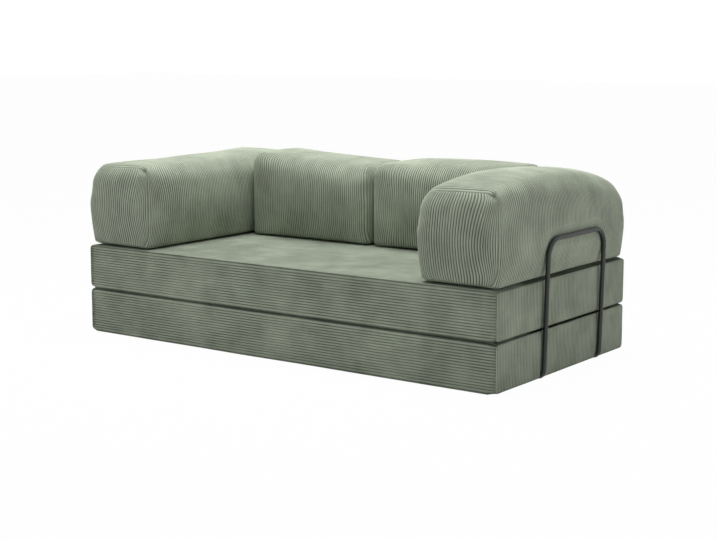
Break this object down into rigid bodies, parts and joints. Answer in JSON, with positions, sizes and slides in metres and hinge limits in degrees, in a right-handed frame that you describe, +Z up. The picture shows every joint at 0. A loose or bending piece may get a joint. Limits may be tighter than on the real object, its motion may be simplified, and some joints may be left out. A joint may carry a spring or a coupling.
{
  "type": "sofa bed",
  "caption": "Fold-out sofa bed: stacked corduroy foam mattresses hinged along the front edge, loose bolster arms and backs, and bent steel brackets at the ends and rear.",
  "frame": {"origin": "on the floor, in the middle of the footprint of the whole sofa bed with its brackets", "axes": "+X to the right seen from the front, along the mattresses; +Y to the back; +Z up; the front faces -Y"},
  "size_m": [2.0566, 1.0284, 0.7405],
  "materials": {
    "corduroy": "matte",
    "foam": "matte",
    "zip_tape": "matte",
    "zip_metal": "satin",
    "bracket_steel": "satin"
  },
  "bodies": {
    "lower_mattress": {"lower_mattress_cover": "corduroy", "lower_mattress_end_left": "corduroy", "lower_mattress_end_right": "corduroy", "lower_mattress_foam": "foam", "lower_mattress_zip": "zip_tape", "hinge_strip_lower": "corduroy"},
    "lower_mattress_zip_slider": {"lower_mattress_zip_slider": "zip_metal"},
    "upper_mattress": {"upper_mattress_cover": "corduroy", "upper_mattress_end_left": "corduroy", "upper_mattress_end_right": "corduroy", "upper_mattress_foam": "foam", "upper_mattress_zip": "zip_tape", "hinge_strip_upper": "corduroy"},
    "upper_mattress_zip_slider": {"upper_mattress_zip_slider": "zip_metal"},
    "left_arm": {"left_arm_cover": "corduroy", "left_arm_end_panels": "corduroy", "left_arm_foam": "foam", "left_arm_zip": "zip_tape"},
    "left_arm_zip_slider": {"left_arm_zip_slider": "zip_metal"},
    "right_arm": {"right_arm_cover": "corduroy", "right_arm_end_panels": "corduroy", "right_arm_foam": "foam", "right_arm_zip": "zip_tape"},
    "right_arm_zip_slider": {"right_arm_zip_slider": "zip_metal"},
    "left_back": {"left_back_cover": "corduroy", "left_back_end_panels": "corduroy", "left_back_foam": "foam", "left_back_zip": "zip_tape"},
    "left_back_zip_slider": {"left_back_zip_slider": "zip_metal"},
    "right_back": {"right_back_cover": "corduroy", "right_back_end_panels": "corduroy", "right_back_foam": "foam", "right_back_zip": "zip_tape"},
    "right_back_zip_slider": {"right_back_zip_slider": "zip_metal"},
    "left_bracket": {"left_bracket": "bracket_steel"},
    "right_bracket": {"right_bracket": "bracket_steel"},
    "back_left_bracket": {"back_left_bracket": "bracket_steel"},
    "back_right_bracket": {"back_right_bracket": "bracket_steel"}
  },
  "joints": [
    {"name": "unfold", "type": "hinge", "parent": "lower_mattress", "child": "upper_mattress", "pos_m": [0, -0.5143, 0.18515], "axis": [1, 0, 0], "range_deg": [0, 180]},
    {"name": "left_arm_carry", "type": "hinge", "parent": "upper_mattress", "child": "left_arm", "pos_m": [0, 0.49085, 0.37045], "axis": [1, 0, 0], "range_deg": [-180, 0]},
    {"name": "right_arm_carry", "type": "hinge", "parent": "upper_mattress", "child": "right_arm", "pos_m": [0, 0.49085, 0.37045], "axis": [1, 0, 0], "range_deg": [-180, 0]},
    {"name": "left_back_carry", "type": "hinge", "parent": "upper_mattress", "child": "left_back", "pos_m": [0, 0.49085, 0.37045], "axis": [1, 0, 0], "range_deg": [-180, 0]},
    {"name": "right_back_carry", "type": "hinge", "parent": "upper_mattress", "child": "right_back", "pos_m": [0, 0.49085, 0.37045], "axis": [1, 0, 0], "range_deg": [-180, 0]},
    {"name": "left_bracket_pull", "type": "slide", "parent": "lower_mattress", "child": "left_bracket", "axis": [-1, 0, 0], "range_m": [0, 0.3]},
    {"name": "right_bracket_pull", "type": "slide", "parent": "lower_mattress", "child": "right_bracket", "axis": [1, 0, 0], "range_m": [0, 0.3]},
    {"name": "back_left_bracket_pull", "type": "slide", "parent": "lower_mattress", "child": "back_left_bracket", "axis": [0, 1, 0], "range_m": [0, 0.3]},
    {"name": "back_right_bracket_pull", "type": "slide", "parent": "lower_mattress", "child": "back_right_bracket", "axis": [0, 1, 0], "range_m": [0, 0.3]},
    {"name": "lower_mattress_zip_run", "type": "slide", "parent": "lower_mattress", "child": "lower_mattress_zip_slider", "axis": [1, 0, 0], "range_m": [0, 1.699]},
    {"name": "upper_mattress_zip_run", "type": "slide", "parent": "upper_mattress", "child": "upper_mattress_zip_slider", "axis": [1, 0, 0], "range_m": [0, 1.699]},
    {"name": "left_arm_zip_run", "type": "slide", "parent": "left_arm", "child": "left_arm_zip_slider", "axis": [0, 1, 0], "range_m": [0, 0.689]},
    {"name": "right_arm_zip_run", "type": "slide", "parent": "right_arm", "child": "right_arm_zip_slider", "axis": [0, 1, 0], "range_m": [0, 0.689]},
    {"name": "left_back_zip_run", "type": "slide", "parent": "left_back", "child": "left_back_zip_slider", "axis": [1, 0, 0], "range_m": [0, 0.347]},
    {"name": "right_back_zip_run", "type": "slide", "parent": "right_back", "child": "right_back_zip_slider", "axis": [1, 0, 0], "range_m": [0, 0.347]}
  ],
  "couplings": [
    {"joint": "left_arm_carry", "follows": "unfold", "ratio": -1},
    {"joint": "right_arm_carry", "follows": "unfold", "ratio": -1},
    {"joint": "left_back_carry", "follows": "unfold", "ratio": -1},
    {"joint": "right_back_carry", "follows": "unfold", "ratio": -1}
  ]
}
